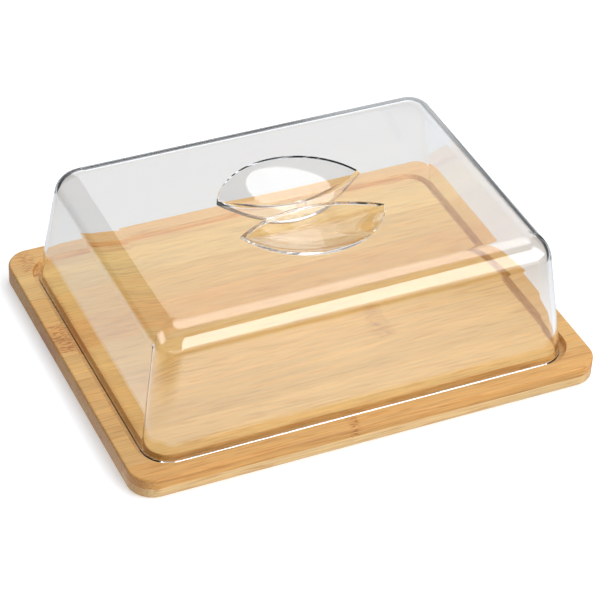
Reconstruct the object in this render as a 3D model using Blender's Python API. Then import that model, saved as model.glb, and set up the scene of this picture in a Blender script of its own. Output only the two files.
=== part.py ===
"""Butter dish: a clear moulded lid that stands with its rim in the groove of a glued bamboo board.

Metres, +Z up. X is the board's length, Y its depth from front to rear. The origin is at the centre of
the underside. The board is two layers of bamboo staves, all running along X, and the lid lifts
straight up out of the groove.
"""

import math

import bmesh
import bpy

# Board
BOARD_LENGTH = 0.200
BOARD_DEPTH = 0.155
BOARD_THICKNESS = 0.009
BOARD_CORNER_RADIUS = 0.0105
BOARD_EDGE_RADIUS = 0.001

# Staves: the lower layer is the upper one turned over, so that the seams don't line up.
LAYER_THICKNESS = BOARD_THICKNESS / 2
STAVE_WIDTH = 0.0183
FIRST_SEAM = -0.0665
GLUE_LINE = 0.0003
STAVE_SURPLUS = 0.004

# Groove for the rim of the lid
GROOVE_MARGIN = 0.0073
GROOVE_WIDTH = 0.0050
GROOVE_DEPTH = 0.0030
GROOVE_CORNER_RADIUS = 0.0132

# Lid, measured upwards from its rim
RIM_CLEARANCE = 0.0003
RIM_HEIGHT = BOARD_THICKNESS - GROOVE_DEPTH + RIM_CLEARANCE
LID_LENGTH = 0.1810
LID_DEPTH = 0.1360
LID_HEIGHT = 0.0552
LID_WALL = 0.0018
LID_DRAFT = math.radians(7.75)
LID_CORNER_RADIUS = 0.0116
LID_SHOULDER_CORNER_RADIUS = 0.0097
LID_TOP_CORNER_RADIUS = 0.0030
LID_TOP_FILLET = 0.0112

# Finger wells: a shallow round bowl in the lid's top, with a bow-tie bridge left standing across it
BOWL_RADIUS = 0.0330
BOWL_DEPTH = 0.0093
BRIDGE_HALF_WAIST = 0.0030
BRIDGE_SIDE_RADIUS = 0.0517
BRIDGE_DRAFT = math.radians(6.0)
GATE_RADIUS = 0.0023
GATE_DEPTH = 0.0004

# Facets
CORNER_STEPS = 8
EDGE_STEPS = 2
FILLET_STEPS = 8
BOWL_STEPS = 8
BOWL_SEGMENTS = 64
BRIDGE_STEPS = 20
GATE_SEGMENTS = 24
SHARP_ANGLE = math.radians(30)

# How far a cutting form reaches past the surface that it cuts
CUTTER_REACH = 0.004

# Linear colours
BAMBOO_TONES = {
    "pale": (0.68, 0.42, 0.18),
    "honey": (0.62, 0.36, 0.145),
    "amber": (0.59, 0.31, 0.115),
    "brown": (0.56, 0.27, 0.10),
}
TOP_LAYER_TONES = ("brown", "pale", "honey", "honey", "honey", "amber", "honey", "pale", "amber")
BOTTOM_LAYER_TONES = ("pale", "honey", "amber", "pale", "honey", "brown", "honey", "pale", "honey")
CLEAR_PLASTIC = (0.93, 0.95, 0.96)


def clear_scene():
    for existing in list(bpy.data.objects):
        bpy.data.objects.remove(existing, do_unlink=True)


def bamboo_material(tone):
    material = bpy.data.materials.new("bamboo_" + tone)
    material.use_nodes = True
    shader = material.node_tree.nodes["Principled BSDF"]
    shader.inputs["Base Color"].default_value = (*BAMBOO_TONES[tone], 1.0)
    shader.inputs["Roughness"].default_value = 0.5
    shader.inputs["Metallic"].default_value = 0.0
    return material


def clear_plastic_material():
    material = bpy.data.materials.new("clear_plastic")
    material.use_nodes = True
    shader = material.node_tree.nodes["Principled BSDF"]
    shader.inputs["Base Color"].default_value = (*CLEAR_PLASTIC, 1.0)
    shader.inputs["Roughness"].default_value = 0.04
    shader.inputs["Metallic"].default_value = 0.0
    shader.inputs["Transmission Weight"].default_value = 1.0
    shader.inputs["IOR"].default_value = 1.57
    return material


def rounded_rectangle(length, depth, radius, height):
    """One ring of points, anticlockwise seen from above, with an arc at each corner."""
    ring = []
    for corner, (side_x, side_y) in enumerate(((1, 1), (-1, 1), (-1, -1), (1, -1))):
        centre_x = side_x * (length / 2 - radius)
        centre_y = side_y * (depth / 2 - radius)
        for step in range(CORNER_STEPS + 1):
            angle = math.pi / 2 * (corner + step / CORNER_STEPS)
            x = centre_x + radius * math.cos(angle)
            y = centre_y + radius * math.sin(angle)
            ring.append((x, y, height))
    return ring


def circle(radius, height, segments):
    ring = []
    for step in range(segments):
        angle = 2 * math.pi * step / segments
        ring.append((radius * math.cos(angle), radius * math.sin(angle), height))
    return ring


def loft(name, rings):
    """A closed solid through rings that all have the same number of points, listed from below upwards."""
    work = bmesh.new()
    loops = [[work.verts.new(point) for point in ring] for ring in rings]
    count = len(loops[0])
    for lower, upper in zip(loops, loops[1:]):
        for here in range(count):
            following = (here + 1) % count
            work.faces.new((lower[here], lower[following], upper[following], upper[here]))
    work.faces.new(reversed(loops[0]))
    work.faces.new(loops[-1])
    mesh = bpy.data.meshes.new(name)
    work.to_mesh(mesh)
    work.free()
    solid = bpy.data.objects.new(name, mesh)
    bpy.context.scene.collection.objects.link(solid)
    return solid


def box(name, low, high):
    ring = [(low[0], low[1]), (high[0], low[1]), (high[0], high[1]), (low[0], high[1])]
    return loft(name, [[(x, y, z) for x, y in ring] for z in (low[2], high[2])])


def make_cutter(form):
    form.hide_render = True
    form.display_type = "WIRE"
    return form


def boolean(solid, form, operation):
    modifier = solid.modifiers.new(form.name, "BOOLEAN")
    modifier.operation = operation
    modifier.solver = "EXACT"
    modifier.object = form


def board_outline():
    """The finished board's outer form, with its top and bottom edges rounded over."""
    quarter = [math.pi / 2 * step / EDGE_STEPS for step in range(EDGE_STEPS + 1)]
    lower = [(BOARD_EDGE_RADIUS * (1 - math.sin(a)), BOARD_EDGE_RADIUS * (1 - math.cos(a))) for a in quarter]
    upper = [(inset, BOARD_THICKNESS - height) for inset, height in reversed(lower)]
    rings = []
    for inset, height in lower + upper:
        length = BOARD_LENGTH - 2 * inset
        depth = BOARD_DEPTH - 2 * inset
        rings.append(rounded_rectangle(length, depth, BOARD_CORNER_RADIUS - inset, height))
    return make_cutter(loft("board_outline", rings))


def groove_form():
    """The ring that is milled out of the upper layer: an outer block less the island inside it."""
    heights = (BOARD_THICKNESS - GROOVE_DEPTH, BOARD_THICKNESS + CUTTER_REACH)
    length = BOARD_LENGTH - 2 * GROOVE_MARGIN
    depth = BOARD_DEPTH - 2 * GROOVE_MARGIN
    outer = [rounded_rectangle(length, depth, GROOVE_CORNER_RADIUS, z) for z in heights]
    inner = []
    for z in (heights[0] - CUTTER_REACH / 2, heights[1] + CUTTER_REACH):
        island_length = length - 2 * GROOVE_WIDTH
        island_depth = depth - 2 * GROOVE_WIDTH
        inner.append(rounded_rectangle(island_length, island_depth, GROOVE_CORNER_RADIUS - GROOVE_WIDTH, z))
    groove = make_cutter(loft("groove_form", outer))
    island = make_cutter(loft("island_form", inner))
    boolean(groove, island, "DIFFERENCE")
    return groove


def stave_edges():
    """(front, rear) of each stave of the upper layer, from the front of the board to the rear."""
    seams = []
    seam = FIRST_SEAM
    while seam < BOARD_DEPTH / 2 - STAVE_WIDTH / 4:
        seams.append(seam)
        seam += STAVE_WIDTH
    fronts = [-BOARD_DEPTH / 2 - STAVE_SURPLUS] + [seam + GLUE_LINE / 2 for seam in seams]
    rears = [seam - GLUE_LINE / 2 for seam in seams] + [BOARD_DEPTH / 2 + STAVE_SURPLUS]
    return list(zip(fronts, rears))


def add_staves(layer, edges, heights, tones, materials, outline):
    """A layer of planks, each trimmed to the board's outline."""
    reach = BOARD_LENGTH / 2 + STAVE_SURPLUS
    staves = []
    for number, ((front, rear), tone) in enumerate(zip(edges, tones), start=1):
        low = (-reach, front, heights[0])
        high = (reach, rear, heights[1])
        stave = box(f"{layer}_stave_{number}", low, high)
        boolean(stave, outline, "INTERSECT")
        stave.data.materials.append(materials[tone])
        staves.append(stave)
    return staves


def add_board():
    materials = {tone: bamboo_material(tone) for tone in BAMBOO_TONES}
    outline = board_outline()
    groove = groove_form()
    upper_edges = stave_edges()
    lower_edges = [(-rear, -front) for front, rear in reversed(upper_edges)]
    upper_heights = (LAYER_THICKNESS + GLUE_LINE / 2, BOARD_THICKNESS + STAVE_SURPLUS)
    lower_heights = (-STAVE_SURPLUS, LAYER_THICKNESS - GLUE_LINE / 2)
    for stave in add_staves("top", upper_edges, upper_heights, TOP_LAYER_TONES, materials, outline):
        boolean(stave, groove, "DIFFERENCE")
    add_staves("bottom", lower_edges, lower_heights, BOTTOM_LAYER_TONES, materials, outline)


def shell_rings(offset, lowest):
    """Rings of the lid's outer surface, or of the one that lies the given offset inside it."""
    shoulder = LID_HEIGHT - LID_TOP_FILLET
    centre_inset = shoulder * math.tan(LID_DRAFT) + LID_TOP_FILLET / math.cos(LID_DRAFT)
    fillet = LID_TOP_FILLET - offset
    profile = []
    for step in range(FILLET_STEPS + 1):
        angle = LID_DRAFT + (math.pi / 2 - LID_DRAFT) * step / FILLET_STEPS
        profile.append((centre_inset - fillet * math.cos(angle), shoulder + fillet * math.sin(angle)))
    first_inset = profile[0][0]
    wall_foot = first_inset - (profile[0][1] - lowest) * math.tan(LID_DRAFT)
    rings = [(wall_foot, lowest, LID_CORNER_RADIUS - offset)]
    for inset, height in profile:
        share = (inset - first_inset) / (centre_inset - first_inset)
        start = LID_SHOULDER_CORNER_RADIUS - offset
        rings.append((inset, height, start + share * (LID_TOP_CORNER_RADIUS - start)))
    return [
        rounded_rectangle(LID_LENGTH - 2 * inset, LID_DEPTH - 2 * inset, radius, height)
        for inset, height, radius in rings
    ]


def bowl_form(name, offset):
    """The round bowl: the cap of a sphere that dips below the lid's top, grown by the given offset."""
    sphere_radius = (BOWL_RADIUS**2 + BOWL_DEPTH**2) / (2 * BOWL_DEPTH)
    centre_height = LID_HEIGHT - BOWL_DEPTH + sphere_radius
    radius = sphere_radius + offset
    widest = math.acos((centre_height - LID_HEIGHT - CUTTER_REACH / 4) / radius)
    rings = []
    for step in range(1, BOWL_STEPS + 1):
        angle = widest * step / BOWL_STEPS
        height = centre_height - radius * math.cos(angle)
        rings.append(circle(radius * math.sin(angle), height, BOWL_SEGMENTS))
    return make_cutter(loft(name, rings))


def bridge_form(name, offset):
    """The bow-tie left between the wells: waisted in the middle, wider below by its draft."""
    side_radius = BRIDGE_SIDE_RADIUS + offset
    half_waist = BRIDGE_HALF_WAIST - offset
    reach = BOWL_RADIUS + CUTTER_REACH + offset
    rings = []
    for height in (LID_HEIGHT - BOWL_DEPTH - CUTTER_REACH, LID_HEIGHT + CUTTER_REACH):
        growth = (LID_HEIGHT - height) * math.tan(BRIDGE_DRAFT)
        side = []
        for step in range(BRIDGE_STEPS + 1):
            x = reach * (2 * step / BRIDGE_STEPS - 1)
            sagitta = side_radius - math.sqrt(side_radius**2 - x**2)
            side.append((x, half_waist + sagitta + growth, height))
        rings.append([(x, -y, z) for x, y, z in side] + [(x, y, z) for x, y, z in reversed(side)])
    return make_cutter(loft(name, rings))


def add_lid():
    """Outer form, less the wells, less the hollow inside, which keeps one wall's thickness off them."""
    lid = loft("lid", shell_rings(0.0, 0.0))
    wells = bowl_form("well_form", 0.0)
    boolean(wells, bridge_form("bridge_form", 0.0), "DIFFERENCE")
    well_backs = bowl_form("well_back_form", LID_WALL)
    boolean(well_backs, bridge_form("bridge_channel_form", LID_WALL), "DIFFERENCE")
    hollow = make_cutter(loft("hollow_form", shell_rings(LID_WALL, -CUTTER_REACH)))
    boolean(hollow, well_backs, "DIFFERENCE")
    gate_heights = (LID_HEIGHT - GATE_DEPTH, LID_HEIGHT + CUTTER_REACH)
    gate = make_cutter(loft("gate_form", [circle(GATE_RADIUS, z, GATE_SEGMENTS) for z in gate_heights]))
    for form in (wells, hollow, gate):
        boolean(lid, form, "DIFFERENCE")
    lid.data.materials.append(clear_plastic_material())
    return lid


def place_on_lift_axis(lid):
    """The lid slides along the vertical line through the middle of the groove."""
    lift_axis = bpy.data.objects.new("lid_lift_axis", None)
    lift_axis.location = (0.0, 0.0, RIM_HEIGHT)
    bpy.context.scene.collection.objects.link(lift_axis)
    names = ("lid", "well_form", "bridge_form", "well_back_form", "bridge_channel_form", "hollow_form", "gate_form")
    for name in names:
        bpy.data.objects[name].parent = lift_axis


def smooth_round_faces(solid):
    solid.data.shade_smooth()
    solid.data.set_sharp_from_angle(angle=SHARP_ANGLE)


clear_scene()
add_board()
dish_lid = add_lid()
place_on_lift_axis(dish_lid)
for piece in bpy.data.objects:
    if piece.type == "MESH":
        smooth_round_faces(piece)
bpy.context.view_layer.update()
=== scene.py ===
"""Butter dish: looks. A clear moulded lid standing in the groove of a two-layer bamboo board.

Metres, +Z up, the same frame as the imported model. X runs along the staves, -Y is the front.
"""

import math

import bmesh
import bpy
from mathutils import Matrix, Vector
from mathutils.geometry import tessellate_polygon


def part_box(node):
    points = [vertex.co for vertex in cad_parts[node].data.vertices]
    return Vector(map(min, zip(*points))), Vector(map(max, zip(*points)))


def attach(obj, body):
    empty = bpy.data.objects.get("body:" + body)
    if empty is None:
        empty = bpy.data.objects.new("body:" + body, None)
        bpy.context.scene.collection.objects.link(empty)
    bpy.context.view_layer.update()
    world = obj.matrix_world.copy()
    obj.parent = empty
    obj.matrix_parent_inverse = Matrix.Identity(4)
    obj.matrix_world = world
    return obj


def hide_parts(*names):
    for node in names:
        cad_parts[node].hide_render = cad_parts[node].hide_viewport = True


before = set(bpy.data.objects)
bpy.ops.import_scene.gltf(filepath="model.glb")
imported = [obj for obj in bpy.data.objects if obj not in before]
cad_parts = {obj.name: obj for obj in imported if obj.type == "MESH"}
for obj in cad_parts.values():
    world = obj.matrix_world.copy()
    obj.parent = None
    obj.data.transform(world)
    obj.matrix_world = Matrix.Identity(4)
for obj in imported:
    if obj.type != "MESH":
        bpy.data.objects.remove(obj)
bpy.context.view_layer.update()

MM = 0.001
QUARTER = math.pi / 2
CORNER_SIDES = ((1, 1), (-1, 1), (-1, -1), (1, -1))

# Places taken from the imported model
STAVE_COUNT = 9
BOARD_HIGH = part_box("top_stave_1")[1].copy()
for number in range(1, STAVE_COUNT + 1):
    for layer in ("bottom", "top"):
        BOARD_HIGH = Vector(map(max, BOARD_HIGH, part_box(f"{layer}_stave_{number}")[1]))
LID_LOW, LID_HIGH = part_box("lid")
MID_PLANE = (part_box("bottom_stave_5")[1].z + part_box("top_stave_5")[0].z) / 2

# Board
HALF_LENGTH = BOARD_HIGH.x
HALF_DEPTH = BOARD_HIGH.y
THICKNESS = BOARD_HIGH.z
CORNER_RADIUS = 10.5 * MM
CORNER_STEPS = 20
EDGE_RADIUS = 1.0 * MM
EDGE_STEPS = 6
GROOVE_MARGIN = 7.3 * MM
GROOVE_WIDTH = 5.0 * MM
GROOVE_END = GROOVE_MARGIN + GROOVE_WIDTH
GROOVE_DEPTH = 3.0 * MM
GROOVE_CORNER_RADIUS = 13.2 * MM
GROOVE_LIP = 0.28 * MM
GROOVE_LIP_STEPS = 3
GROOVE_FLOOR_FILLET = 0.7 * MM
GROOVE_FILLET_STEPS = 5
CUT_TOLERANCE = 1e-7
SHARP_ANGLE = math.radians(34)
NORMAL_WEIGHT = 80

# Lid
LID_HALF_LENGTH = LID_HIGH.x
LID_HALF_DEPTH = LID_HIGH.y
LID_HEIGHT = LID_HIGH.z - LID_LOW.z
LID_WALL = 1.8 * MM
LID_WALL_STEPS = 6
LID_DRAFT = math.radians(7.75)
LID_CORNER_RADIUS = 11.6 * MM
LID_CORNER_STEPS = 28
LID_SHOULDER_CORNER_RADIUS = 9.7 * MM
LID_TOP_CORNER_RADIUS = 3.0 * MM
LID_TOP_FILLET = 11.2 * MM
LID_FILLET_STEPS = 26
SHOULDER = LID_HEIGHT - LID_TOP_FILLET
FILLET_CENTRE_INSET = SHOULDER * math.tan(LID_DRAFT) + LID_TOP_FILLET / math.cos(LID_DRAFT)
RIM_ROUND = 0.18 * MM
RIM_STEPS = 5
SMALLEST_AREA = 1e-14

# Finger wells: a bowl cut from a sphere, and the drafted side of the bridge, an arc in plan
BOWL_RADIUS = 33.0 * MM
BOWL_DEPTH = 9.3 * MM
SPHERE_RADIUS = (BOWL_RADIUS**2 + BOWL_DEPTH**2) / (2 * BOWL_DEPTH)
SPHERE_HEIGHT = SPHERE_RADIUS - BOWL_DEPTH
BRIDGE_HALF_WAIST = 3.0 * MM
BRIDGE_SIDE_RADIUS = 51.7 * MM
BRIDGE_DRAFT = math.radians(6.0)
ARC_CENTRE = BRIDGE_HALF_WAIST + BRIDGE_SIDE_RADIUS
WELL_STATIONS = 120
BROW_STEPS, SIDE_STEPS, FOOT_STEPS, BOWL_STEPS, LIP_STEPS = 5, 5, 7, 16, 6
SECTION_POINTS = BROW_STEPS + SIDE_STEPS + FOOT_STEPS + 1 + BOWL_STEPS + LIP_STEPS
FOOT_SEARCH_STEPS = 50

# Roundings of a well at the bridge's brow, the foot of its side and the far lip
OUTER_FILLETS = (0.3 * MM, 0.2 * MM, 0.3 * MM)
INNER_FILLETS = (0.3 * MM, 1.7 * MM, 0.4 * MM)
# The most that they may take: shares of the well's depth, its depth and its width
MOST_BROW, MOST_FOOT, MOST_LIP = 0.30, 0.40, 0.10

# Gate mark: rows of (inset in mm, drop in mm, elevation of the normal in degrees)
GATE_RADIUS = 2.1 * MM
GATE_STEPS = 40
GATE_ROWS = (
    (0.0, 0.0, 90),
    (0.05, 0.03, 55),
    (0.14, 0.13, 35),
    (0.34, 0.28, 50),
    (0.7, 0.36, 70),
    (1.2, 0.40, 84),
)


# ---------------------------------------------------------------- board
def rounded_ring(half_x, half_y, radius, height):
    ring = []
    for corner, (side_x, side_y) in enumerate(CORNER_SIDES):
        for step in range(CORNER_STEPS + 1):
            angle = QUARTER * (corner + step / CORNER_STEPS)
            x = side_x * (half_x - radius) + radius * math.cos(angle)
            y = side_y * (half_y - radius) + radius * math.sin(angle)
            ring.append(Vector((x, y, height)))
    return ring


def board_profile():
    """Rows of (inset from the board's outline, height, corner radius), from the underside's edge
    outwards, up over the top's edge and through the groove."""
    rows = []
    for step in range(EDGE_STEPS + 1):
        angle = QUARTER * step / EDGE_STEPS
        inset = EDGE_RADIUS * (1 - math.sin(angle))
        rows.append((inset, EDGE_RADIUS * (1 - math.cos(angle)), CORNER_RADIUS - inset))
    for step in range(EDGE_STEPS + 1):
        angle = QUARTER * (1 - step / EDGE_STEPS)
        inset = EDGE_RADIUS * (1 - math.sin(angle))
        rows.append((inset, THICKNESS - EDGE_RADIUS * (1 - math.cos(angle)), CORNER_RADIUS - inset))
    floor = THICKNESS - GROOVE_DEPTH
    half_groove = []
    for step in range(GROOVE_LIP_STEPS + 1):
        angle = QUARTER * step / GROOVE_LIP_STEPS
        inset = GROOVE_MARGIN - GROOVE_LIP + GROOVE_LIP * math.sin(angle)
        half_groove.append((inset, THICKNESS - GROOVE_LIP * (1 - math.cos(angle))))
    for step in range(GROOVE_FILLET_STEPS + 1):
        angle = QUARTER * step / GROOVE_FILLET_STEPS
        inset = GROOVE_MARGIN + GROOVE_FLOOR_FILLET * (1 - math.cos(angle))
        half_groove.append((inset, floor + GROOVE_FLOOR_FILLET * (1 - math.sin(angle))))
    mirrored = [(GROOVE_MARGIN + GROOVE_END - inset, height) for inset, height in reversed(half_groove)]
    for inset, height in half_groove + mirrored:
        rows.append((inset, height, GROOVE_CORNER_RADIUS - (inset - GROOVE_MARGIN)))
    return rows


def board_block():
    """The whole board as one closed mesh."""
    work = bmesh.new()
    loops = []
    for inset, height, radius in board_profile():
        ring = rounded_ring(HALF_LENGTH - inset, HALF_DEPTH - inset, radius, height)
        loops.append([work.verts.new(point) for point in ring])
    count = len(loops[0])
    for lower, upper in zip(loops, loops[1:]):
        for here in range(count):
            there = (here + 1) % count
            work.faces.new((lower[here], lower[there], upper[there], upper[here]))
    work.faces.new(reversed(loops[0]))
    work.faces.new(loops[-1])
    return work


def slice_block(block, cuts):
    """A copy of the block without what lies beyond each (point, outward normal) plane, closed again."""
    part = block.copy()
    for point, normal in cuts:
        cut = bmesh.ops.bisect_plane(
            part,
            geom=part.verts[:] + part.edges[:] + part.faces[:],
            dist=CUT_TOLERANCE,
            plane_co=point,
            plane_no=normal,
            clear_outer=True,
        )
        edges = [element for element in cut["geom_cut"] if isinstance(element, bmesh.types.BMEdge)]
        bmesh.ops.holes_fill(part, edges=edges, sides=0)
    return part


def seam_positions(layer):
    """The y of the seam between each stave of the layer and the next."""
    seams = []
    for number in range(1, STAVE_COUNT):
        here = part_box(f"{layer}_stave_{number}")
        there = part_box(f"{layer}_stave_{number + 1}")
        seams.append((here[1].y + there[0].y) / 2)
    return seams


def add_stave(block, layer, number, front, rear):
    cuts = []
    if front is not None:
        cuts.append(((0, front, 0), (0, -1, 0)))
    if rear is not None:
        cuts.append(((0, rear, 0), (0, 1, 0)))
    cuts.append(((0, 0, MID_PLANE), (0, 0, -1 if layer == "top" else 1)))
    part = slice_block(block, cuts)
    bmesh.ops.dissolve_degenerate(part, dist=CUT_TOLERANCE, edges=part.edges[:])
    bmesh.ops.recalc_face_normals(part, faces=part.faces[:])
    name = f"{layer}_stave_{number}_wood"
    mesh = bpy.data.meshes.new(name)
    part.to_mesh(mesh)
    part.free()
    stave = bpy.data.objects.new(name, mesh)
    bpy.context.scene.collection.objects.link(stave)
    mesh.shade_smooth()
    mesh.set_sharp_from_angle(angle=SHARP_ANGLE)
    weighted = stave.modifiers.new("weighted", "WEIGHTED_NORMAL")
    weighted.keep_sharp = True
    weighted.weight = NORMAL_WEIGHT
    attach(stave, "base")
    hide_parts(f"{layer}_stave_{number}")
    return stave


# ---------------------------------------------------------------- lid
class Surface:
    """Vertices with their normals, and faces, gathered for one mesh."""

    def __init__(self):
        self.points = []
        self.normals = []
        self.faces = []

    def add(self, point, normal):
        self.points.append(Vector(point))
        self.normals.append(Vector(normal).normalized())
        return len(self.points) - 1

    def strip(self, one, two, closed=True, flip=False):
        """Faces between two loops, or two open rows, that have the same number of vertices."""
        count = len(one)
        for here in range(count if closed else count - 1):
            there = (here + 1) % count
            face = [one[here], one[there], two[there], two[here]]
            face = [vertex for index, vertex in enumerate(face) if vertex != face[index - 1]]
            if len(face) >= 3:
                self.faces.append(tuple(reversed(face)) if flip else tuple(face))

    def plate(self, outer, holes, flip=False):
        """Flat faces between an outer loop and the holes in it."""
        loops = [outer, *holes]
        flat = [[self.points[vertex] for vertex in loop] for loop in loops]
        order = [vertex for loop in loops for vertex in loop]
        for triangle in tessellate_polygon(flat):
            one, two, three = (order[index] for index in triangle)
            base = self.points[one]
            area = (self.points[two] - base).cross(self.points[three] - base).z
            if abs(area) < SMALLEST_AREA:
                continue
            face = (one, two, three) if (area > 0) != flip else (one, three, two)
            self.faces.append(face)


def side_profile(offset):
    """Up the lid's side, the given offset inside its outer skin: rows of (inset, height above the
    rim, corner radius, elevation of the outward normal)."""
    fillet = LID_TOP_FILLET - offset
    arc = []
    for step in range(LID_FILLET_STEPS + 1):
        angle = LID_DRAFT + (QUARTER - LID_DRAFT) * step / LID_FILLET_STEPS
        inset = FILLET_CENTRE_INSET - fillet * math.cos(angle)
        arc.append((inset, SHOULDER + fillet * math.sin(angle), angle))
    first_inset, first_height = arc[0][:2]
    low = RIM_ROUND * (1 + math.sin(LID_DRAFT) * (1 if offset == 0 else -1))
    rows = []
    for step in range(LID_WALL_STEPS):
        height = low + (first_height - low) * step / LID_WALL_STEPS
        inset = first_inset - (first_height - height) * math.tan(LID_DRAFT)
        share = height / first_height
        radius = LID_CORNER_RADIUS + share * (LID_SHOULDER_CORNER_RADIUS - LID_CORNER_RADIUS)
        rows.append((inset, height, radius - offset, LID_DRAFT))
    start = LID_SHOULDER_CORNER_RADIUS - offset
    for inset, height, angle in arc:
        share = (inset - first_inset) / (FILLET_CENTRE_INSET - first_inset)
        rows.append((inset, height, start + share * (LID_TOP_CORNER_RADIUS - start), angle))
    return rows


def with_slopes(rows):
    """The rows with (d inset, d height, d radius) per length along the profile in place of the angle."""
    made = []
    for index, (inset, height, radius, angle) in enumerate(rows):
        before = rows[max(index - 1, 0)]
        after = rows[min(index + 1, len(rows) - 1)]
        length = math.hypot(after[0] - before[0], after[1] - before[1])
        slopes = (math.sin(angle), math.cos(angle), (after[2] - before[2]) / length)
        made.append((inset, height, radius, slopes))
    return made


def rim_rows(outer_foot, inner_foot):
    """The rim's two rounds, each from its wall's foot down to the flat between them."""
    outside = []
    inside = []
    outer_inset = outer_foot[0] + RIM_ROUND * math.cos(LID_DRAFT)
    inner_inset = inner_foot[0] - RIM_ROUND * math.cos(LID_DRAFT)
    for step in range(1, RIM_STEPS + 1):
        angle = LID_DRAFT + (-QUARTER - LID_DRAFT) * step / RIM_STEPS
        inset = outer_inset - RIM_ROUND * math.cos(angle)
        corner = outer_foot[2] - (inset - outer_foot[0])
        slopes = (math.sin(angle), math.cos(angle), -math.sin(angle))
        outside.append((inset, RIM_ROUND + RIM_ROUND * math.sin(angle), corner, slopes))
    for step in range(1, RIM_STEPS + 1):
        angle = -LID_DRAFT + (-QUARTER + LID_DRAFT) * step / RIM_STEPS
        inset = inner_inset + RIM_ROUND * math.cos(angle)
        corner = inner_foot[2] + (inner_foot[0] - inset)
        slopes = (-math.sin(angle), math.cos(angle), math.sin(angle))
        inside.append((inset, RIM_ROUND + RIM_ROUND * math.sin(angle), corner, slopes))
    return outside, inside


def add_ring(surface, row, inward):
    inset, height, radius, (d_inset, d_height, d_radius) = row
    half_x = LID_HALF_LENGTH - inset - radius
    half_y = LID_HALF_DEPTH - inset - radius
    shift = -d_inset - d_radius
    ring = []
    for corner, (side_x, side_y) in enumerate(CORNER_SIDES):
        for step in range(LID_CORNER_STEPS + 1):
            angle = QUARTER * (corner + step / LID_CORNER_STEPS)
            cosine = math.cos(angle)
            sine = math.sin(angle)
            x = side_x * half_x + radius * cosine
            y = side_y * half_y + radius * sine
            rise = Vector((side_x * shift + d_radius * cosine, side_y * shift + d_radius * sine, d_height))
            normal = Vector((-sine, cosine, 0)).cross(rise)
            ring.append(surface.add((x, y, LID_LOW.z + height), -normal if inward else normal))
    return ring


def well_outline(offset):
    """Of a well at the flat it opens from: the radii of the bridge side's arc and of the far rim,
    and the angle of the tip on each."""
    level = -offset
    arc = BRIDGE_SIDE_RADIUS + offset + level * math.tan(BRIDGE_DRAFT)
    rim = math.sqrt((SPHERE_RADIUS + offset) ** 2 - (SPHERE_HEIGHT - level) ** 2)
    tip_y = (rim**2 + ARC_CENTRE**2 - arc**2) / (2 * ARC_CENTRE)
    tip_x = math.sqrt(rim**2 - tip_y**2)
    return arc, rim, math.asin(tip_x / arc), math.atan2(tip_y, tip_x)


def arc_points(centre, radius, start, end, steps, first=0):
    """Points on a circle in equal steps from the start angle to the end angle."""
    points = []
    for step in range(first, steps + 1):
        angle = start + (end - start) * step / steps
        points.append((centre[0] + radius * math.cos(angle), centre[1] + radius * math.sin(angle)))
    return points


def well_section(start, end, offset, fillets):
    """Plan places and heights along a vertical plane, from the bridge's flat at start, through the
    well, to the flat at end."""
    level = -offset
    along = (end - start).normalized()
    width = (end - start).length
    inward = (Vector((0, ARC_CENTRE)) - start).normalized()
    middle = -start.dot(along)
    circle = math.sqrt((SPHERE_RADIUS + offset) ** 2 - (start.length_squared - middle**2))
    depth = level - (SPHERE_HEIGHT - math.sqrt(circle**2 - middle**2))
    brow = min(fillets[0], MOST_BROW * depth)
    foot = min(fillets[1], MOST_FOOT * depth)
    lip = min(fillets[2], MOST_LIP * width)
    slope = math.tan(BRIDGE_DRAFT) / along.dot(inward)
    draft = math.atan(slope)
    cosine = math.cos(draft)

    # Rounding between the bridge's flat and its side
    centre = (brow * slope - brow / cosine, level - brow)
    points = arc_points(centre, brow, QUARTER, draft, BROW_STEPS)
    side_start = points[-1]

    # Rounding at the foot of the side: a ball that touches the side and the bowl
    low = level - 3 * depth
    high = level
    for _ in range(FOOT_SEARCH_STEPS):
        height = (low + high) / 2
        reach = (level - height) * slope + foot / cosine
        outside = math.hypot(reach - middle, height - SPHERE_HEIGHT) > circle - foot
        low, high = (height, high) if outside else (low, height)
    centre = ((level - low) * slope + foot / cosine, low)
    foot_start = math.pi + draft
    foot_end = math.atan2(centre[1] - SPHERE_HEIGHT, centre[0] - middle) % (2 * math.pi)
    foot_points = arc_points(centre, foot, foot_start, foot_end, FOOT_STEPS)
    side_end = foot_points[0]
    for step in range(1, SIDE_STEPS):
        share = step / SIDE_STEPS
        distance = side_start[0] + share * (side_end[0] - side_start[0])
        points.append((distance, side_start[1] + share * (side_end[1] - side_start[1])))
    points += foot_points

    # The bowl, and the rounding where it comes up to the far flat
    half = math.sqrt((circle + lip) ** 2 - (SPHERE_HEIGHT - level + lip) ** 2)
    centre = (middle + half, level - lip)
    bowl_end = math.atan2(centre[1] - SPHERE_HEIGHT, centre[0] - middle) % (2 * math.pi)
    points += arc_points((middle, SPHERE_HEIGHT), circle, foot_end, bowl_end, BOWL_STEPS, first=1)
    points += arc_points(centre, lip, bowl_end - math.pi, QUARTER, LIP_STEPS, first=1)
    return [start + along * distance for distance, _ in points], [height for _, height in points]


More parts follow.
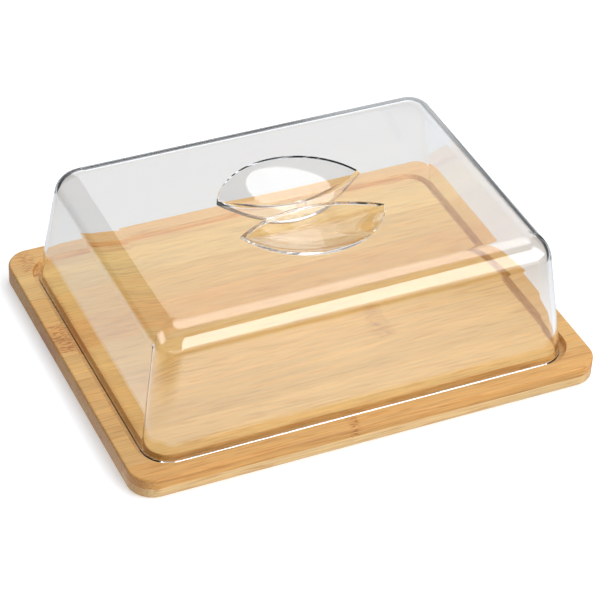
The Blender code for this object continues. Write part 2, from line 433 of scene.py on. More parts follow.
def well_grid(side, offset, fillets):
    """Columns of points across the well, from its one tip to the other."""
    arc, rim, tip_theta, tip_beta = well_outline(offset)
    grid = []
    for station in range(WELL_STATIONS + 1):
        share = math.sin(QUARTER * (2 * station / WELL_STATIONS - 1))
        theta = tip_theta * share
        beta = QUARTER - (QUARTER - tip_beta) * share
        start = Vector((arc * math.sin(theta), ARC_CENTRE - arc * math.cos(theta)))
        end = Vector((rim * math.cos(beta), rim * math.sin(beta)))
        if station in (0, WELL_STATIONS):
            grid.append([Vector((start.x, side * start.y, LID_HIGH.z - offset))] * SECTION_POINTS)
            continue
        plan, heights = well_section(start, end, offset, fillets)
        section = zip(plan, heights)
        grid.append([Vector((spot.x, side * spot.y, LID_HIGH.z + height)) for spot, height in section])
    return grid


def add_well(surface, side, offset, fillets):
    """One finger well on the side given by its sign; returns the loop around it on the flat."""
    grid = well_grid(side, offset, fillets)
    facing = side * (-1 if offset else 1)
    up = Vector((0, 0, -1 if offset else 1))
    columns = []
    for station, column in enumerate(grid):
        if station in (0, WELL_STATIONS):
            columns.append([surface.add(column[0], up)] * SECTION_POINTS)
            continue
        made = []
        for place, point in enumerate(column):
            if place in (0, SECTION_POINTS - 1):
                made.append(surface.add(point, up))
                continue
            along = grid[station + 1][place] - grid[station - 1][place]
            across = column[place + 1] - column[place - 1]
            made.append(surface.add(point, along.cross(across) * facing))
        columns.append(made)
    flip = (side > 0) == (offset == 0)
    for here, there in zip(columns, columns[1:]):
        surface.strip(here, there, closed=False, flip=flip)
    bridge_side = [column[0] for column in columns]
    far_side = [column[-1] for column in columns]
    return bridge_side + far_side[-2:0:-1]


def add_gate(surface):
    """The shallow round gate mark in the middle of the bridge; returns the loop around it."""
    loops = []
    for inset, drop, elevation in GATE_ROWS:
        radius = GATE_RADIUS - inset * MM
        lean = math.cos(math.radians(elevation))
        loop = []
        for step in range(GATE_STEPS):
            angle = 2 * math.pi * step / GATE_STEPS
            cosine = math.cos(angle)
            sine = math.sin(angle)
            normal = (-cosine * lean, -sine * lean, math.sin(math.radians(elevation)))
            loop.append(surface.add((radius * cosine, radius * sine, LID_HIGH.z - drop * MM), normal))
        loops.append(loop)
    for one, two in zip(loops, loops[1:]):
        surface.strip(one, two)
    surface.faces.append(tuple(loops[-1]))
    return loops[0]


def add_lid():
    surface = Surface()
    outer = side_profile(0.0)
    inner = side_profile(LID_WALL)
    outside, inside = rim_rows(outer[0], inner[0])
    loops = [add_ring(surface, row, True) for row in reversed(with_slopes(inner))]
    loops += [add_ring(surface, row, True) for row in inside]
    loops += [add_ring(surface, row, False) for row in reversed(outside)]
    loops += [add_ring(surface, row, False) for row in with_slopes(outer)]
    for one, two in zip(loops, loops[1:]):
        surface.strip(one, two)
    holes = [add_well(surface, side, 0.0, OUTER_FILLETS) for side in (1, -1)]
    holes.append(add_gate(surface))
    surface.plate(loops[-1], holes)
    backs = [add_well(surface, side, LID_WALL, INNER_FILLETS) for side in (1, -1)]
    surface.plate(loops[0], backs, flip=True)
    mesh = bpy.data.meshes.new("lid_moulding")
    mesh.from_pydata([tuple(point) for point in surface.points], [], surface.faces)
    mesh.update()
    mesh.shade_smooth()
    mesh.normals_split_custom_set_from_vertices(surface.normals)
    lid = bpy.data.objects.new("lid_moulding", mesh)
    bpy.context.scene.collection.objects.link(lid)
    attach(lid, "lid")
    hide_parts("lid")
    return lid


# ---------------------------------------------------------------- materials
class Graph:
    """Short calls for building one node tree."""

    def __init__(self, tree):
        self.tree = tree
        tree.nodes.clear()

    def node(self, kind, inputs=None, **settings):
        made = self.tree.nodes.new(kind)
        for key, value in settings.items():
            setattr(made, key, value)
        for key, value in (inputs or {}).items():
            if isinstance(value, bpy.types.NodeSocket):
                self.tree.links.new(value, made.inputs[key])
            else:
                made.inputs[key].default_value = value
        return made

    def output(self, kind, shader):
        """Links the shader to the tree's output node of this kind."""
        self.tree.links.new(shader.outputs[0], self.node(kind).inputs["Surface"])

    def place(self):
        return self.node("ShaderNodeTexCoord").outputs["Object"]

    def parts(self, vector):
        return self.node("ShaderNodeSeparateXYZ", {0: vector}).outputs

    def math(self, operation, one, two=0.0):
        return self.node("ShaderNodeMath", {0: one, 1: two}, operation=operation).outputs[0]

    def multiply(self, one, two):
        return self.math("MULTIPLY", one, two)

    def add(self, one, two):
        return self.math("ADD", one, two)

    def subtract(self, one, two):
        return self.math("SUBTRACT", one, two)

    def absolute(self, value):
        return self.math("ABSOLUTE", value)

    def swing(self, noise, amount):
        """Noise about 0.5 turned into noise about 0 and scaled."""
        return self.multiply(self.subtract(noise, 0.5), amount)

    def stretch(self, vector, scale, shift=(0, 0, 0)):
        inputs = {"Vector": vector, "Scale": scale, "Location": shift}
        return self.node("ShaderNodeMapping", inputs, vector_type="POINT").outputs[0]

    def noise(self, vector, scale, shift=(0, 0, 0), detail=2.0, roughness=0.5):
        """Noise whose scale gives its frequency per metre along each axis."""
        inputs = {
            "Vector": self.stretch(vector, scale, shift),
            "Scale": 1.0,
            "Detail": detail,
            "Roughness": roughness,
            "Distortion": 0.0,
        }
        return self.node("ShaderNodeTexNoise", inputs).outputs["Fac"]

    def span(self, value, low, high, to_low=0.0, to_high=1.0, smooth=False):
        """Value from low..high mapped to to_low..to_high, held at the ends."""
        inputs = {"Value": value, "From Min": low, "From Max": high, "To Min": to_low, "To Max": to_high}
        kind = "SMOOTHSTEP" if smooth else "LINEAR"
        return self.node("ShaderNodeMapRange", inputs, interpolation_type=kind).outputs[0]

    def mix(self, factor, one, two, blend="MIX"):
        inputs = {0: factor, 6: one, 7: two}
        return self.node("ShaderNodeMix", inputs, data_type="RGBA", blend_type=blend).outputs[2]

    def product(self, one, two):
        return self.mix(1.0, one, two, "MULTIPLY")

    def tinted(self, base, tint, factor):
        """The base multiplied by the tint, to the extent of the factor."""
        return self.mix(factor, base, self.product(base, (*tint, 1.0)))

    def grey(self, level):
        return self.node("ShaderNodeCombineColor", {0: level, 1: level, 2: level}).outputs[0]

    def ramp(self, value, stops):
        made = self.node("ShaderNodeValToRGB", {"Fac": value})
        band = made.color_ramp
        while len(band.elements) < len(stops):
            band.elements.new(0.5)
        for element, (place, colour) in zip(band.elements, stops):
            element.position = place
            element.color = (*colour, 1.0)
        return made.outputs["Color"]


def scaled(colour, factor):
    return tuple(min(1.0, channel * factor) for channel in colour)


def new_material(name):
    material = bpy.data.materials.new(name)
    material.use_nodes = True
    return material, Graph(material.node_tree)


# Bamboo grain. A SCALE holds frequencies per metre, along and across the fibres; FADES are the two
# values between which a feature comes or goes; a STRENGTH is how much of it shows
SEED_SHIFT = (3.7, 1.31, 2.17)
WAVER_SCALE = (14, 30, 30)
WAVER_SWING = 0.0030
BROAD_SCALE = (9, 110, 110)
BROAD_STRENGTH = 0.34
STREAK_SCALE = (14, 520, 520)
STREAK_STRENGTH = 0.42
FINE_SCALE = (38, 1500, 1500)
FINE_STRENGTH = 0.46
TICK_SCALE = (70, 1250, 1250)
TICK_FADES = (0.54, 0.66)
TICK_STRENGTH = 0.52
TICK_TINT = (0.74, 0.58, 0.42)
WARM_FADES = (0.52, 0.74)
WARM_STRENGTH = 0.45
WARM_TINT = (0.90, 0.74, 0.55)
DARK_LINE_TINT = (0.66, 0.50, 0.34)
SAWN_SCALE = (13, 1500, 1500)
SAWN_SHIFT = (5.1, 0.7, 1.9)
SAWN_FADES = (0.53, 0.66)
SAWN_STRENGTHS = {"top": 0.62, "bottom": 0.45}
SAWN_FACING = (0.4, 0.85)
SEAM_FADES = (0.00008, 0.0003)
SEAM_STRENGTH = 0.22
# Painted highlight along the arris at the glue plane between the layers
ARRIS_HIGHLIGHT_FADES = (0.00012, 0.0005)
ARRIS_HIGHLIGHT_STRENGTH = 0.75
ARRIS_HIGHLIGHT_TINT = (1.10, 1.16, 1.26)
BUNDLE_SCALE = (55, 1500, 1500)
BUNDLE_FADES = (0.16, 0.42)
BUNDLE_STRENGTH = 0.7
BUNDLE_RANDOMNESS = 0.85
END_FACING = (0.35, 0.8)
END_GROUND_TINT = (0.80, 0.70, 0.58)
END_BUNDLE_TINT = (0.50, 0.34, 0.22)

# Knuckles; CORE, STOPS and LINE_PLACE are shares of a knuckle's width
RIPPLE_SCALE = (60, 420, 420)
DRIFT_SCALE = (40, 90, 90)
DASH_SCALE = (430, 1900, 1900)
KNUCKLE_SWING = 0.0030
KNUCKLE_CORE = 0.35
KNUCKLE_STOPS = (0.80, 0.86)
KNUCKLE_LINE_PLACE = 0.84
KNUCKLE_LINE_FADES = (0.00015, 0.0005)
DARK_DASHES = (0.50, 0.60)
PALE_DASHES = (0.46, 0.36)
KNUCKLE_GROUND_TINT = (0.90, 0.80, 0.66)
KNUCKLE_GROUND_STRENGTH = 0.40
KNUCKLE_DASH_TINT = (0.60, 0.44, 0.30)
KNUCKLE_DASH_STRENGTH = 0.90
KNUCKLE_PALE_TINT = (1.16, 1.20, 1.30)
KNUCKLE_PALE_STRENGTH = 0.40
KNUCKLE_LINE_TINT = (0.58, 0.42, 0.28)
KNUCKLE_LINE_STRENGTH = 0.55

# Painted light: tints that make the wood under the lid paler, nearer to its brightness in the photo
GROOVE_WALL_PAINTED_LIGHT = (1.06, 1.07, 1.12)
FAR_WALL_PAINTED_LIGHT = (1.32, 1.40, 1.52)
FAR_WALL_X = (0.072, 0.086)
FAR_WALL_Y = (0.052, 0.064)
FIELD_PAINTED_LIGHT = (1.045, 1.085, 1.0)
RIM_OF_BOARD = 3 * MM
TINT_BLEND = 1 * MM
BELOW_TOP = (THICKNESS - 0.15 * MM, THICKNESS - 0.5 * MM)
LEVEL_FACING = (0.95, 0.5)
GROOVE_FLOOR_SHARE = 0.35

# Surface of the wood
WOOD_SPECULAR = 0.42
WOOD_ROUGHNESS = (0.42, 0.62)
WOOD_BUMP = {"Strength": 0.35, "Distance": 0.00012}
STREAK_HEIGHT = 0.6
FINE_HEIGHT = 0.5
TICK_DEPTH = 0.35
KNUCKLE_DEPTH = 0.5
TICK_DULLNESS = 0.4
DULLNESS_FADES = (0.25, 0.95)

# Clear plastic: a faint swell in the surface, and a roughness that changes a little by place
PLASTIC_COLOUR = (0.985, 0.99, 0.992, 1.0)
PLASTIC_INDEX = 1.54
PLASTIC_PASSES = (0.990, 0.991, 0.992, 1.0)
PLASTIC_ROUGHNESS = (0.001, 0.008)
HANDLING_FADES = (0.35, 0.75)
PLASTIC_BUMP = {"Strength": 0.16, "Distance": 0.0004}
SWELL_SCALE = (28, 28, 40)
HANDLING_SCALE = (60, 60, 60)


def add_knuckles(graph, base, place, x, shift, knuckles):
    """Short broken fibres over a darker ground, ended by one sharp line on the side given, if any.

    Returns the new colour, and a mask of the broken fibres, or None where there are no knuckles.
    """
    ripple = graph.noise(place, RIPPLE_SCALE, shift, 3.0, 0.6)
    ripple = graph.swing(ripple, KNUCKLE_SWING)
    drift = graph.noise(place, DRIFT_SCALE, shift, 1.0)
    drift = graph.swing(drift, KNUCKLE_SWING)
    dashes = graph.noise(place, DASH_SCALE, shift, 1.0)
    relief = None
    for centre, width, strength, side in knuckles:
        away = graph.subtract(graph.subtract(x, centre), drift)
        near = graph.absolute(graph.subtract(away, ripple))
        band = graph.span(near, KNUCKLE_CORE * width, width, strength, 0.0, smooth=True)
        if side:
            stops = [share * width for share in KNUCKLE_STOPS]
            band = graph.multiply(band, graph.span(graph.multiply(away, side), *stops, 1.0, 0.0))
        broken = graph.multiply(band, graph.span(dashes, *DARK_DASHES, smooth=True))
        raised = graph.multiply(band, graph.span(dashes, *PALE_DASHES, smooth=True))
        ground = graph.multiply(band, KNUCKLE_GROUND_STRENGTH)
        base = graph.tinted(base, KNUCKLE_GROUND_TINT, ground)
        base = graph.tinted(base, KNUCKLE_DASH_TINT, graph.multiply(broken, KNUCKLE_DASH_STRENGTH))
        base = graph.tinted(base, KNUCKLE_PALE_TINT, graph.multiply(raised, KNUCKLE_PALE_STRENGTH))
        if side:
            edge = graph.absolute(graph.subtract(away, side * width * KNUCKLE_LINE_PLACE))
            line = graph.span(edge, *KNUCKLE_LINE_FADES, strength, 0.0, smooth=True)
            line = graph.multiply(line, KNUCKLE_LINE_STRENGTH)
            base = graph.tinted(base, KNUCKLE_LINE_TINT, line)
        relief = broken if relief is None else graph.math("MAXIMUM", relief, broken)
    return base, relief


def inside_outline(graph, x, y, margin):
    """0 within the margin of the board's outline, and 1 a short blend further in."""
    inside_x = graph.span(graph.absolute(x), HALF_LENGTH - margin, HALF_LENGTH - margin - TINT_BLEND)
    inside_y = graph.span(graph.absolute(y), HALF_DEPTH - margin, HALF_DEPTH - margin - TINT_BLEND)
    return graph.multiply(inside_x, inside_y)


def paint_light_under_lid(graph, base, x, y, z, face_z):
    """Painted light: makes the groove's walls, the rear and right ones most, and the field inside it
    paler, lifting the groove's shade and brightening the wood under the lid.
    """
    below_top = graph.span(z, *BELOW_TOP)
    in_groove = graph.multiply(inside_outline(graph, x, y, RIM_OF_BOARD), below_top)
    wall = graph.multiply(in_groove, graph.span(face_z, *LEVEL_FACING, GROOVE_FLOOR_SHARE, 1.0))
    far = graph.math("MAXIMUM", graph.span(x, *FAR_WALL_X), graph.span(y, *FAR_WALL_Y))
    wall_painted_light = graph.mix(far, (*GROOVE_WALL_PAINTED_LIGHT, 1.0), (*FAR_WALL_PAINTED_LIGHT, 1.0))
    base = graph.mix(wall, base, graph.product(base, wall_painted_light))
    return graph.tinted(base, FIELD_PAINTED_LIGHT, inside_outline(graph, x, y, GROOVE_END))


def bamboo(name, colour, seed, knuckles, seams, painted_light_grades, layer):
    """Solid bamboo with its fibres along X; the bundles show as dots on the end grain.

    knuckles are rows of (x, width, strength, side of the sharp line or 0), in metres; seams are the
    y of the glue lines in front and behind, or None; painted_light_grades are painted light and shade,
    the brightness at the board's left end, middle and right end; layer is top or bottom.
    """
    material, graph = new_material(name)
    place = graph.place()
    x, y, z = graph.parts(place)
    facing = graph.parts(graph.node("ShaderNodeNewGeometry").outputs["Normal"])
    face_x, face_y, face_z = (graph.absolute(part) for part in facing)
    shift = tuple(part * seed for part in SEED_SHIFT)

    # Fibres lean and waver a little along the stave
    waver = graph.swing(graph.noise(place, WAVER_SCALE, shift), WAVER_SWING)
    bend = graph.node("ShaderNodeCombineXYZ", {0: 0.0, 1: waver, 2: waver}).outputs[0]
    bent = graph.node("ShaderNodeVectorMath", {0: place, 1: bend}, operation="ADD").outputs[0]
    broad = graph.noise(bent, BROAD_SCALE, shift)
    streak = graph.noise(bent, STREAK_SCALE, shift, 3.0, 0.62)
    fine = graph.noise(bent, FINE_SCALE, shift, 1.0)
    tick = graph.noise(bent, TICK_SCALE, shift, 1.0)
    tick = graph.span(tick, *TICK_FADES, smooth=True)

    # Painted light and shade that change along the stave, from the given brightness at each end and in the
    # middle, and the grain
    left, middle, right = (scaled(colour, grade) for grade in painted_light_grades)
    along = graph.span(x, -HALF_LENGTH, HALF_LENGTH)
    base = graph.ramp(along, [(0.0, left), (0.5, middle), (1.0, right)])
    level = graph.add(1.0, graph.swing(broad, BROAD_STRENGTH))
    level = graph.add(level, graph.swing(streak, STREAK_STRENGTH))
    level = graph.add(level, graph.swing(fine, FINE_STRENGTH))
    base = graph.product(base, graph.grey(level))
    base = graph.tinted(base, WARM_TINT, graph.span(streak, *WARM_FADES, 0.0, WARM_STRENGTH))
    base = graph.tinted(base, TICK_TINT, graph.multiply(tick, TICK_STRENGTH))
    base, relief = add_knuckles(graph, base, place, x, shift, knuckles)

    # End grain: ends of the fibre bundles as darker dots in a duller brown
    across = graph.stretch(place, BUNDLE_SCALE, shift)
    inputs = {"Vector": across, "Scale": 1.0, "Randomness": BUNDLE_RANDOMNESS}
    bundles = graph.node("ShaderNodeTexVoronoi", inputs).outputs["Distance"]
    dots = graph.span(bundles, *BUNDLE_FADES, 1.0, 0.0, smooth=True)
    end_ground = graph.product(base, (*END_GROUND_TINT, 1.0))
    end_bundle = graph.product(base, (*END_BUNDLE_TINT, 1.0))
    end = graph.mix(graph.multiply(dots, BUNDLE_STRENGTH), end_ground, end_bundle)
    base = graph.mix(graph.span(face_x, *END_FACING, smooth=True), base, end)

    # Sawn sides show more of the dark bundles as thin level lines
    sawn_shift = (SAWN_SHIFT[0] * seed, *SAWN_SHIFT[1:])
    lines = graph.noise(bent, SAWN_SCALE, sawn_shift, 2.0, 0.55)
    lines = graph.span(lines, *SAWN_FADES, 0.0, SAWN_STRENGTHS[layer], smooth=True)
    sawn = graph.tinted(base, DARK_LINE_TINT, lines)
    base = graph.mix(graph.span(face_y, *SAWN_FACING, smooth=True), base, sawn)
    # Painted light: the groove's walls and the field inside the groove are made paler
    base = paint_light_under_lid(graph, base, x, y, z, face_z)

    # Glue lines along the stave's own edges
    for seam in seams:
        if seam is None:
            continue
        gap = graph.absolute(graph.subtract(y, seam))
        line = graph.span(gap, *SEAM_FADES, SEAM_STRENGTH, 0.0, smooth=True)
        base = graph.tinted(base, DARK_LINE_TINT, line)

    # Painted highlight: a pale line along the arris at the glue plane between the layers
    gap = graph.subtract(z, MID_PLANE) if layer == "top" else graph.subtract(MID_PLANE, z)
    line = graph.span(gap, *ARRIS_HIGHLIGHT_FADES, ARRIS_HIGHLIGHT_STRENGTH, 0.0, smooth=True)
    base = graph.tinted(base, ARRIS_HIGHLIGHT_TINT, line)

    # Relief and gloss follow the grain
    height = graph.add(graph.multiply(streak, STREAK_HEIGHT), graph.multiply(fine, FINE_HEIGHT))
    height = graph.subtract(height, graph.multiply(tick, TICK_DEPTH))
    if relief is not None:
        height = graph.subtract(height, graph.multiply(relief, KNUCKLE_DEPTH))
    bump = graph.node("ShaderNodeBump", {**WOOD_BUMP, "Height": height})
    dullness = graph.add(streak, graph.multiply(tick, TICK_DULLNESS))
    rough = graph.span(dullness, *DULLNESS_FADES, *WOOD_ROUGHNESS)
    inputs = {"Base Color": base, "Roughness": rough, "Normal": bump.outputs[0]}
    shader = graph.node("ShaderNodeBsdfPrincipled", inputs)
    shader.inputs["Specular IOR Level"].default_value = WOOD_SPECULAR
    graph.output("ShaderNodeOutputMaterial", shader)
    return material


def clear_plastic():
    """Clear plastic. Shadow and diffuse rays pass straight through it, nearly undimmed."""
    material, graph = new_material("clear_plastic_moulded")
    place = graph.place()
    swell = graph.noise(place, SWELL_SCALE, roughness=0.45)
    bump = graph.node("ShaderNodeBump", {**PLASTIC_BUMP, "Height": swell})
    handling = graph.noise(place, HANDLING_SCALE, detail=4.0, roughness=0.6)
    rough = graph.span(handling, *HANDLING_FADES, *PLASTIC_ROUGHNESS)
    glass = graph.node("ShaderNodeBsdfPrincipled", {"Roughness": rough, "Normal": bump.outputs[0]})
    glass.inputs["Base Color"].default_value = PLASTIC_COLOUR
    glass.inputs["Transmission Weight"].default_value = 1.0
    glass.inputs["IOR"].default_value = PLASTIC_INDEX
    pass_through = graph.node("ShaderNodeBsdfTransparent")
    pass_through.inputs["Color"].default_value = PLASTIC_PASSES
    rays = graph.node("ShaderNodeLightPath").outputs
    factor = graph.math("MAXIMUM", rays["Is Shadow Ray"], rays["Is Diffuse Ray"])
    shaders = {0: factor, 1: glass.outputs[0], 2: pass_through.outputs[0]}
    graph.output("ShaderNodeOutputMaterial", graph.node("ShaderNodeMixShader", shaders))
    return material


# ---------------------------------------------------------------- build
TOP_STAVES = (
    # slot, linear colour, knuckles, painted light and shade as brightness at left, middle and right
    ("bamboo_brown", (0.493, 0.254, 0.069), ((-0.0087, 0.0030, 1.0, 0),), (0.95, 1.06, 1.0)),
    ("bamboo_pale", (0.524, 0.294, 0.093), (), (0.90, 1.03, 1.02)),
    ("bamboo_honey", (0.503, 0.279, 0.086), (), (0.92, 1.05, 1.03)),
    ("bamboo_honey", (0.498, 0.274, 0.084), ((0.0265, 0.0052, 0.8, 1),), (0.98, 1.06, 1.03)),
    ("bamboo_honey", (0.515, 0.295, 0.096), (), (1.0, 1.05, 1.03)),
    ("bamboo_amber", (0.486, 0.249, 0.072), ((-0.0955, 0.0050, 1.0, 0),), (1.0, 1.06, 1.03)),
    ("bamboo_honey", (0.507, 0.286, 0.088), ((-0.088, 0.0024, 0.9, 0),), (0.94, 1.05, 1.03)),
    ("bamboo_pale", (0.550, 0.337, 0.118), (), (0.93, 1.02, 1.02)),
    ("bamboo_amber", (0.562, 0.321, 0.110), ((-0.092, 0.0050, 0.8, 0),), (0.93, 1.02, 1.02)),
)
# Painted light and shade for the lower layer: a little brighter in the middle of each stave
BOTTOM_PAINTED_LIGHT_GRADES = (1.0, 1.04, 1.0)
BOTTOM_STAVES = (
    ("bamboo_pale", (0.528, 0.348, 0.155), (), BOTTOM_PAINTED_LIGHT_GRADES),
    ("bamboo_honey", (0.472, 0.268, 0.091), (), BOTTOM_PAINTED_LIGHT_GRADES),
    ("bamboo_amber", (0.448, 0.240, 0.074), (), BOTTOM_PAINTED_LIGHT_GRADES),
    ("bamboo_pale", (0.504, 0.304, 0.110), (), BOTTOM_PAINTED_LIGHT_GRADES),
    ("bamboo_honey", (0.468, 0.264, 0.089), (), BOTTOM_PAINTED_LIGHT_GRADES),
    ("bamboo_brown", (0.424, 0.204, 0.062), (), BOTTOM_PAINTED_LIGHT_GRADES),
    ("bamboo_honey", (0.480, 0.272, 0.094), (), BOTTOM_PAINTED_LIGHT_GRADES),
    ("bamboo_pale", (0.512, 0.312, 0.112), (), BOTTOM_PAINTED_LIGHT_GRADES),
    ("bamboo_honey", (0.472, 0.268, 0.092), (), BOTTOM_PAINTED_LIGHT_GRADES),
)

SEED_STEP = 11
SEED_OFFSETS = {"top": 0, "bottom": 5}

block = board_block()
for layer, staves in (("top", TOP_STAVES), ("bottom", BOTTOM_STAVES)):
    edges = [None, *seam_positions(layer), None]
    for number, (slot_name, colour, knuckles, painted_light_grades) in enumerate(staves, start=1):
        front, rear = edges[number - 1], edges[number]
        stave = add_stave(block, layer, number, front, rear)
        seed = SEED_STEP * number + SEED_OFFSETS[layer]
        wood_name = f"{layer}_{number}_wood"
        wood = bamboo(wood_name, colour, seed, knuckles, (front, rear), painted_light_grades, layer)
        stave.data.materials.append(wood)
block.free()

lid = add_lid()
lid.data.materials.append(clear_plastic())


# ---------------------------------------------------------------- floor, light and camera
STUDIO_TINT = (0.975, 1.0, 1.03)
WHITE = (1.0, 1.0, 1.0, 1.0)
BLACK = (0.0, 0.0, 0.0, 1.0)

# Floor as the camera sees it: what it reflects, and what it adds
SEEN_REFLECTION = (0.80, 0.80, 0.80, 1.0)
SEEN_GLOW = (0.26, 0.26, 0.26, 1.0)
FLOOR_REACH = 8.0
FLOOR_DROP = 0.0002

# The glow that other rays see: levels, and the places in metres between which each part fades
SWEEP_FADES = (0.16, 0.24)
SWEEP_LEVEL = 0.74
FRONT_FADES = (0.05, -0.15)
FRONT_GAIN = 0.98
RIGHT_FADES = (0.02, 0.15)
RIGHT_SHARE = 0.30
WEDGE_DIRECTION = math.radians(53)
WEDGE_FADES = (math.radians(10), math.radians(18))
WEDGE_LEVEL = 0.5
FAR_LEVEL = 0.03
REFRACTED_LEVEL = 0.66
DIFFUSE_LOSS = 0.35

# The surroundings: heights between which they brighten, and levels below and above those
SKY_FADES = (0.80, 0.98)
SKY_LEVELS = (0.26, 0.66)

# Upright softboxes: azimuth, distance, left, right, low and high edges in distances, radiance
UPRIGHT_PANELS = {
    "front_softbox": (60, 2.4, -1.43, 0.26, 0.21, 1.31, 5.0),
    "front_fill": (-10, 2.4, -0.90, 0.90, -0.02, 0.20, 1.3),
    "left_softbox": (-107, 2.4, -0.40, 0.40, 0.29, 0.90, 3.2),
    "rear_panel": (150, 3.0, -0.50, 0.62, 0.18, 1.10, 1.05),
}
OVERHEAD = 2.6
OVERHEAD_MIDDLE = Vector((0.37, 0.37, 0)) * OVERHEAD
OVERHEAD_SIZE = (0.98 * OVERHEAD, 0.84 * OVERHEAD)
OVERHEAD_RADIANCE = 2.9

CAMERA_AZIMUTH, CAMERA_ELEVATION, CAMERA_ROLL = -25.904, 37.747, 2.809
CAMERA_DISTANCE = 1.012509
CAMERA_LENS = 150.47
CAMERA_SENSOR = 36
CAMERA_CLIP = (0.01, 100)
CAMERA_ASIDE, CAMERA_ABOVE = -0.721 * MM, 13.587 * MM
CAMERA_TARGET = Vector((0, 0, 0.030))
LIGHT_BOUNCES = 32


def floor_material():
    """White with soft shadows where it is seen directly.

    Other rays see a glow: a sweep that ends near the dish and is paler at the front left, and
    beyond it next to nothing, but for a grey wedge to the rear right. Rays that have been refracted
    and never reflected see no less than an even grey, so that the lid looks clear. Diffuse rays see
    the glow dimmed.
    """
    material, graph = new_material("floor_white")
    place = graph.place()
    x, y, _ = graph.parts(place)
    away = graph.node("ShaderNodeVectorMath", {0: place}, operation="LENGTH").outputs["Value"]
    near = graph.span(away, *SWEEP_FADES, 1.0, 0.0, smooth=True)
    towards = graph.math("ARCTAN2", y, x)
    wedge = graph.absolute(graph.subtract(towards, WEDGE_DIRECTION))
    wedge = graph.span(wedge, *WEDGE_FADES, WEDGE_LEVEL, 0.0, smooth=True)
    front = graph.span(y, *FRONT_FADES, smooth=True)
    front = graph.multiply(front, graph.span(x, *RIGHT_FADES, 1.0, RIGHT_SHARE, smooth=True))
    level = graph.add(graph.multiply(front, FRONT_GAIN), SWEEP_LEVEL)
    level = graph.math("MAXIMUM", graph.multiply(level, near), wedge)
    rays = graph.node("ShaderNodeLightPath").outputs
    straight = graph.math("LESS_THAN", rays["Glossy Depth"], 0.5)
    refracted = graph.multiply(rays["Is Transmission Ray"], straight)
    through = graph.multiply(refracted, REFRACTED_LEVEL)
    level = graph.math("MAXIMUM", graph.add(level, FAR_LEVEL), through)
    dimmed = graph.subtract(1.0, graph.multiply(rays["Is Diffuse Ray"], DIFFUSE_LOSS))
    sweep = graph.grey(graph.multiply(level, dimmed))
    sweep = graph.product(sweep, (*STUDIO_TINT, 1.0))
    direct = rays["Is Camera Ray"]
    diffuse = graph.node("ShaderNodeBsdfDiffuse", {"Color": graph.mix(direct, BLACK, SEEN_REFLECTION)})
    glow = graph.node("ShaderNodeEmission", {"Color": graph.mix(direct, sweep, SEEN_GLOW)})
    both = graph.node("ShaderNodeAddShader", {0: diffuse.outputs[0], 1: glow.outputs[0]})
    graph.output("ShaderNodeOutputMaterial", both)
    return material


def add_floor():
    mesh = bpy.data.meshes.new("floor")
    corners = [(x * FLOOR_REACH, y * FLOOR_REACH, 0) for x, y in ((-1, -1), (1, -1), (1, 1), (-1, 1))]
    mesh.from_pydata(corners, [], [(0, 1, 2, 3)])
    floor = bpy.data.objects.new("floor", mesh)
    floor.location.z = -FLOOR_DROP
    bpy.context.scene.collection.objects.link(floor)
    mesh.materials.append(floor_material())


def add_panel(name, centre, aim, width, height, radiance, shape="RECTANGLE"):
    """A softbox: an area light of the given radiance, rectangular or elliptical."""
    data = bpy.data.lights.new(name, "AREA")
    data.shape = shape
    data.size = width
    data.size_y = height
    area = width * height * (math.pi / 4 if shape == "ELLIPSE" else 1)
    data.energy = radiance * math.pi * area
    data.color = STUDIO_TINT
    panel = bpy.data.objects.new(name, data)
    panel.location = centre
    panel.rotation_mode = "QUATERNION"
    panel.rotation_quaternion = (Vector(aim) - Vector(centre)).to_track_quat("-Z", "Y")
    panel.visible_camera = False
    bpy.context.scene.collection.objects.link(panel)


def direction(azimuth, elevation):
    turn = math.radians(azimuth)
    rise = math.radians(elevation)
    return Vector((math.sin(turn) * math.cos(rise), -math.cos(turn) * math.cos(rise), math.sin(rise)))


def upright_panel(name, azimuth, distance, left, right, low, high, radiance):
    """A vertical softbox that faces the object from the azimuth; left is towards lower azimuth."""
    normal = direction(azimuth, 0)
    side = direction(azimuth + 90, 0)
    foot = normal * distance
    centre = foot + side * distance * (left + right) / 2 + Vector((0, 0, distance * (low + high) / 2))
    add_panel(name, centre, centre - normal, distance * (right - left), distance * (high - low), radiance)


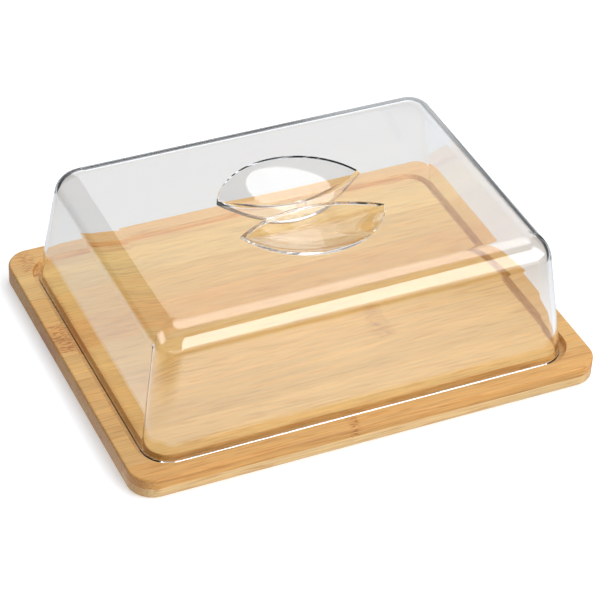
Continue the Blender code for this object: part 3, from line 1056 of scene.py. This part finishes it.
def add_world():
    """White where it is seen directly, and otherwise a soft grey that is lighter overhead."""
    world = bpy.data.worlds.new("studio")
    bpy.context.scene.world = world
    world.use_nodes = True
    graph = Graph(world.node_tree)
    direct = graph.node("ShaderNodeLightPath").outputs["Is Camera Ray"]
    upward = graph.parts(graph.node("ShaderNodeTexCoord").outputs["Generated"])[2]
    ambient = graph.grey(graph.span(upward, *SKY_FADES, *SKY_LEVELS, smooth=True))
    ambient = graph.product(ambient, (*STUDIO_TINT, 1.0))
    sky = graph.node("ShaderNodeBackground", {"Color": graph.mix(direct, ambient, WHITE)})
    graph.output("ShaderNodeOutputWorld", sky)


def add_camera():
    data = bpy.data.cameras.new("camera")
    data.lens = CAMERA_LENS
    data.sensor_width = CAMERA_SENSOR
    data.clip_start, data.clip_end = CAMERA_CLIP
    camera = bpy.data.objects.new("camera", data)
    bpy.context.scene.collection.objects.link(camera)
    back = direction(CAMERA_AZIMUTH, CAMERA_ELEVATION)
    right = direction(CAMERA_AZIMUTH + 90, 0)
    above = back.cross(right)
    roll = math.radians(CAMERA_ROLL)
    axis_x = right * math.cos(roll) + above * math.sin(roll)
    axis_y = above * math.cos(roll) - right * math.sin(roll)
    place = CAMERA_TARGET + back * CAMERA_DISTANCE - axis_x * CAMERA_ASIDE - axis_y * CAMERA_ABOVE
    camera.rotation_mode = "QUATERNION"
    camera.rotation_quaternion = Matrix((axis_x, axis_y, back)).transposed().to_quaternion()
    camera.location = place
    bpy.context.scene.camera = camera


add_floor()
for name, settings in UPRIGHT_PANELS.items():
    upright_panel(name, *settings)
overhead_place = OVERHEAD_MIDDLE + Vector((0, 0, OVERHEAD))
add_panel(
    "overhead_softbox", overhead_place, OVERHEAD_MIDDLE, *OVERHEAD_SIZE, OVERHEAD_RADIANCE, "ELLIPSE"
)
add_world()
add_camera()

# Light that is guided inside the clear wall is followed until it leaves
bpy.context.scene.cycles.max_bounces = LIGHT_BOUNCES
bpy.context.scene.cycles.glossy_bounces = LIGHT_BOUNCES
bpy.context.scene.cycles.transmission_bounces = LIGHT_BOUNCES
bpy.context.scene.view_settings.view_transform = "Standard"
bpy.context.scene.view_settings.look = "None"
